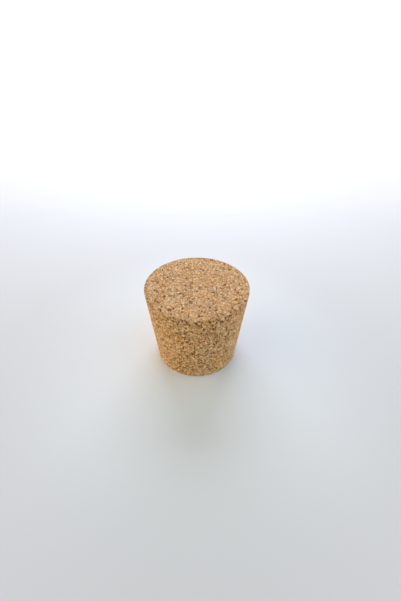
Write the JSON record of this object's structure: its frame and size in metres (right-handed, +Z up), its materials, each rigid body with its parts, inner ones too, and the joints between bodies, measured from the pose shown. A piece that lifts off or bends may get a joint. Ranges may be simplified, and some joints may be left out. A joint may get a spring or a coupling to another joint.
{
  "type": "cork stopper",
  "caption": "Solid tapered plug of pressed cork granules with softened rims, pushed narrow end first into a round mouth to close it.",
  "frame": {"origin": "centre of the foot, the narrow end that the stopper stands on", "axes": "+Z up the axis of the taper from the foot to the wide head; X and Y are alike, because the form is round"},
  "size_m": [0.0449, 0.0448, 0.038],
  "materials": {
    "cork": "matt ground face of agglomerated cork, tan granules with darker flecks and open pores"
  },
  "bodies": {
    "root": {"stopper": "cork"}
  },
  "joints": []
}
